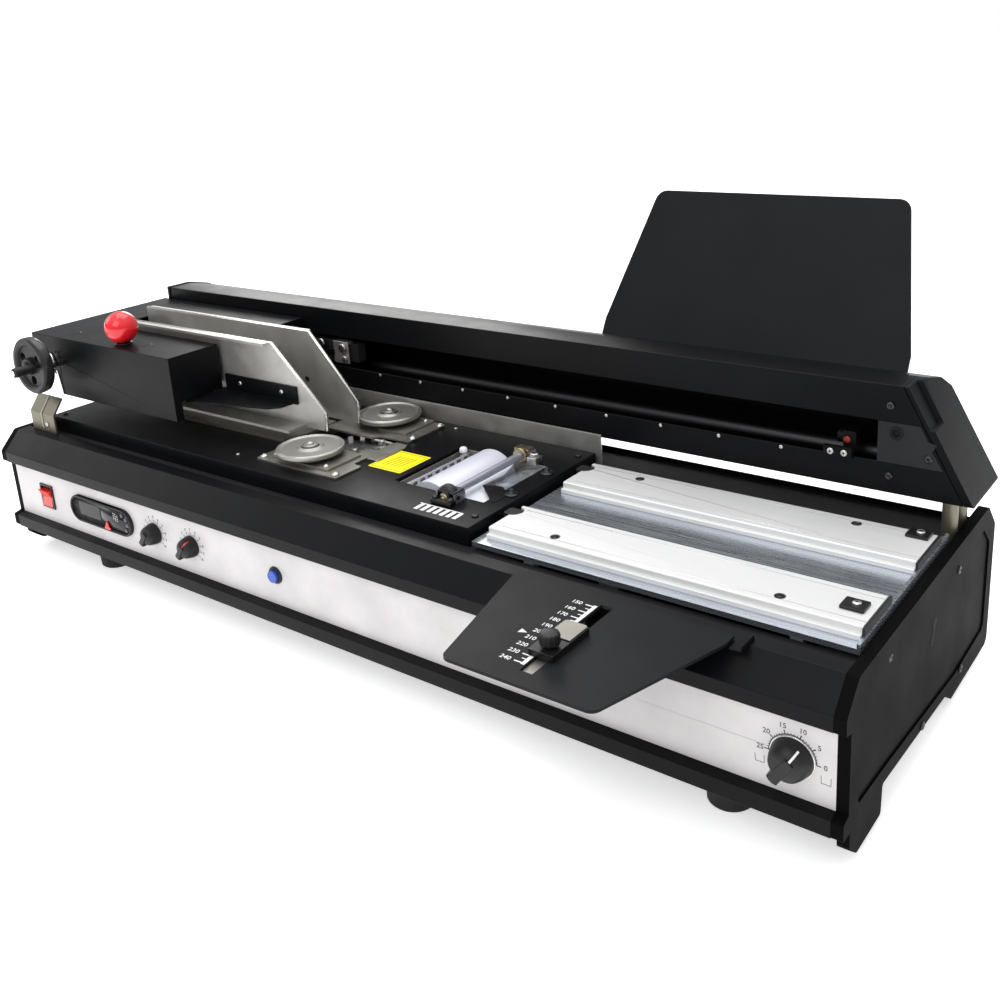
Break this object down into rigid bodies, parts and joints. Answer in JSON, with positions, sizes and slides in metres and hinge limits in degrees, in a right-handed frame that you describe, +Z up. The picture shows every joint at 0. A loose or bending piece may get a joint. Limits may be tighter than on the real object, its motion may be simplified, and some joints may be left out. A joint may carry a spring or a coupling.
{
  "type": "tabletop perfect binding machine",
  "caption": "Tabletop hot-melt book binding machine: a hand-cranked clamp carriage slides on a rear beam over a spine cutter and glue roller to a nip station with paper trays.",
  "frame": {"origin": "on the surface the machine stands on, under the middle of its outer box", "axes": "+X along the machine to the nip station, +Y to the back, +Z up"},
  "size_m": [1.032, 0.5352, 0.3955],
  "materials": {
    "powder_black": "satin charcoal powder coat",
    "fascia_silver": "satin silver-white paint",
    "chassis_steel": "dark grey primer",
    "nickel_plate": "nickel plated, semi-bright",
    "bright_steel": "ground bright steel",
    "white_enamel": "white stove enamel",
    "aluminium": "clear anodised",
    "black_plastic": "moulded, fine grain",
    "red_plastic": "polished phenolic",
    "blue_plastic": "moulded, glossy",
    "rubber": "moulded rubber"
  },
  "bodies": {
    "base": {"left_end_plate": "powder_black", "right_end_plate": "powder_black", "front_rails": "powder_black", "fascia_panel": "fascia_silver", "control_bodies": "nickel_plate", "base_chassis": "chassis_steel", "rear_panel": "powder_black", "rubber_feet": "rubber", "chassis_top_plate": "chassis_steel", "deck_cover": "powder_black", "deck_fence": "nickel_plate", "parking_bracket": "nickel_plate", "glue_tank": "bright_steel", "tank_heater": "bright_steel", "wiper_rod": "bright_steel", "scraper_plate": "white_enamel", "roller_motor": "chassis_steel", "upright_motors": "chassis_steel", "guide_base_plates": "nickel_plate", "guide_slider_rear": "nickel_plate", "beam_housing": "powder_black", "beam_caps": "powder_black", "beam_posts": "nickel_plate", "travel_stop": "chassis_steel", "guide_shaft": "bright_steel", "shaft_supports": "chassis_steel", "rear_tray": "powder_black", "front_tray": "powder_black", "rocker_housing": "black_plastic", "temperature_controller": "black_plastic"},
    "glue_roller": {"glue_roller": "aluminium"},
    "milling_cutter": {"milling_cutter": "bright_steel"},
    "front_guide_slider": {"guide_slider_front": "nickel_plate"},
    "front_guide_disc": {"guide_disc_front": "nickel_plate"},
    "rear_guide_disc": {"guide_disc_rear": "nickel_plate"},
    "tray_slider": {"tray_slider": "powder_black"},
    "slider_knob": {"slider_knob": "black_plastic"},
    "carriage": {"carriage_cover": "powder_black", "carriage_frame": "chassis_steel", "carriage_truck": "chassis_steel", "rear_jaw": "nickel_plate", "red_ball_knob": "red_plastic"},
    "front_jaw": {"front_jaw": "nickel_plate", "jaw_yoke": "chassis_steel", "jaw_shelf": "powder_black"},
    "handwheel": {"lead_screw": "bright_steel", "handwheel": "black_plastic"},
    "crank_handle": {"crank_handle": "black_plastic"},
    "platform": {"platform": "aluminium", "rear_nip_plate": "aluminium", "nip_motor": "chassis_steel"},
    "lift_screw": {"lift_screw": "bright_steel"},
    "front_nip_plate": {"front_nip_plate": "aluminium"},
    "nip_screw": {"nip_screw": "bright_steel"},
    "rocker": {"rocker_switch": "red_plastic"},
    "lap_knob": {"lap_knob": "black_plastic"},
    "clamp_knob": {"clamp_knob": "black_plastic"},
    "speed_knob": {"speed_knob": "black_plastic"},
    "thickness_dial": {"thickness_dial": "black_plastic"},
    "start_button": {"start_button": "blue_plastic"}
  },
  "joints": [
    {"name": "carriage_travel", "type": "slide", "parent": "base", "child": "carriage", "axis": [1, 0, 0], "range_m": [0, 0.57]},
    {"name": "handwheel_turn", "type": "hinge", "parent": "carriage", "child": "handwheel", "pos_m": [-0.471, -0.11058, 0.2285], "axis": [0, 1, 0], "range_deg": [0, 2970]},
    {"name": "jaw_clamp", "type": "slide", "parent": "carriage", "child": "front_jaw", "axis": [0, 1, 0], "range_m": [0, 0.033]},
    {"name": "crank_handle_spin", "type": "hinge", "parent": "handwheel", "child": "crank_handle", "pos_m": [-0.453, -0.14858, 0.2305], "axis": [0, 1, 0], "continuous": true},
    {"name": "glue_roller_spin", "type": "hinge", "parent": "base", "child": "glue_roller", "pos_m": [0.072, -0.00858, 0.139], "axis": [0, 1, 0], "continuous": true},
    {"name": "milling_cutter_spin", "type": "hinge", "parent": "base", "child": "milling_cutter", "pos_m": [-0.08, 0.00142, 0.15], "axis": [0, 0, 1], "continuous": true},
    {"name": "front_guide_spring", "type": "slide", "parent": "base", "child": "front_guide_slider", "axis": [0, -1, 0], "range_m": [0, 0.012], "stiffness_N_per_m": 400, "springref_m": -0.002},
    {"name": "front_guide_disc_spin", "type": "hinge", "parent": "front_guide_slider", "child": "front_guide_disc", "pos_m": [-0.086, -0.05658, 0.172], "axis": [0, 0, 1], "continuous": true},
    {"name": "rear_guide_disc_spin", "type": "hinge", "parent": "base", "child": "rear_guide_disc", "pos_m": [-0.086, 0.06042, 0.172], "axis": [0, 0, 1], "continuous": true},
    {"name": "tray_stop_travel", "type": "slide", "parent": "base", "child": "tray_slider", "axis": [0, 1, 0], "range_m": [-0.022, 0.066]},
    {"name": "tray_stop_knob_turn", "type": "hinge", "parent": "tray_slider", "child": "slider_knob", "pos_m": [0.327, -0.22358, 0.165], "axis": [0, 0, 1], "range_deg": [-90, 90]},
    {"name": "lift_screw_turn", "type": "hinge", "parent": "base", "child": "lift_screw", "pos_m": [0.334, -0.01158, 0.09], "axis": [0, 0, 1], "range_deg": [0, 960]},
    {"name": "platform_lift", "type": "slide", "parent": "base", "child": "platform", "axis": [0, 0, 1], "range_m": [0, 0.008]},
    {"name": "nip_screw_turn", "type": "hinge", "parent": "platform", "child": "nip_screw", "pos_m": [0.3, -0.03858, 0.114], "axis": [0, 1, 0], "range_deg": [0, 4320]},
    {"name": "nip_close", "type": "slide", "parent": "platform", "child": "front_nip_plate", "axis": [0, 1, 0], "range_m": [0, 0.048]},
    {"name": "power_rocker", "type": "hinge", "parent": "base", "child": "rocker", "pos_m": [-0.4415, -0.14558, 0.0815], "axis": [1, 0, 0], "range_deg": [-20, 0]},
    {"name": "lap_counter_turn", "type": "hinge", "parent": "base", "child": "lap_knob", "pos_m": [-0.238, -0.14958, 0.082], "axis": [0, 1, 0], "range_deg": [-135, 135]},
    {"name": "clamp_time_turn", "type": "hinge", "parent": "base", "child": "clamp_knob", "pos_m": [-0.1765, -0.14958, 0.082], "axis": [0, 1, 0], "range_deg": [-135, 135]},
    {"name": "speed_turn", "type": "hinge", "parent": "base", "child": "speed_knob", "pos_m": [0.207, -0.14958, 0.082], "axis": [0, 1, 0], "range_deg": [-135, 135]},
    {"name": "thickness_turn", "type": "hinge", "parent": "base", "child": "thickness_dial", "pos_m": [0.4717, -0.14958, 0.0805], "axis": [0, 1, 0], "range_deg": [-135, 135]},
    {"name": "start_button_press", "type": "slide", "parent": "base", "child": "start_button", "axis": [0, 1, 0], "range_m": [0, 0.003], "stiffness_N_per_m": 300, "springref_m": -0.002}
  ],
  "couplings": [
    {"joint": "handwheel_turn", "follows": "jaw_clamp", "rad_per_m": 1570.8},
    {"joint": "lift_screw_turn", "follows": "platform_lift", "rad_per_m": 2094.4},
    {"joint": "nip_screw_turn", "follows": "nip_close", "rad_per_m": 1570.8}
  ]
}
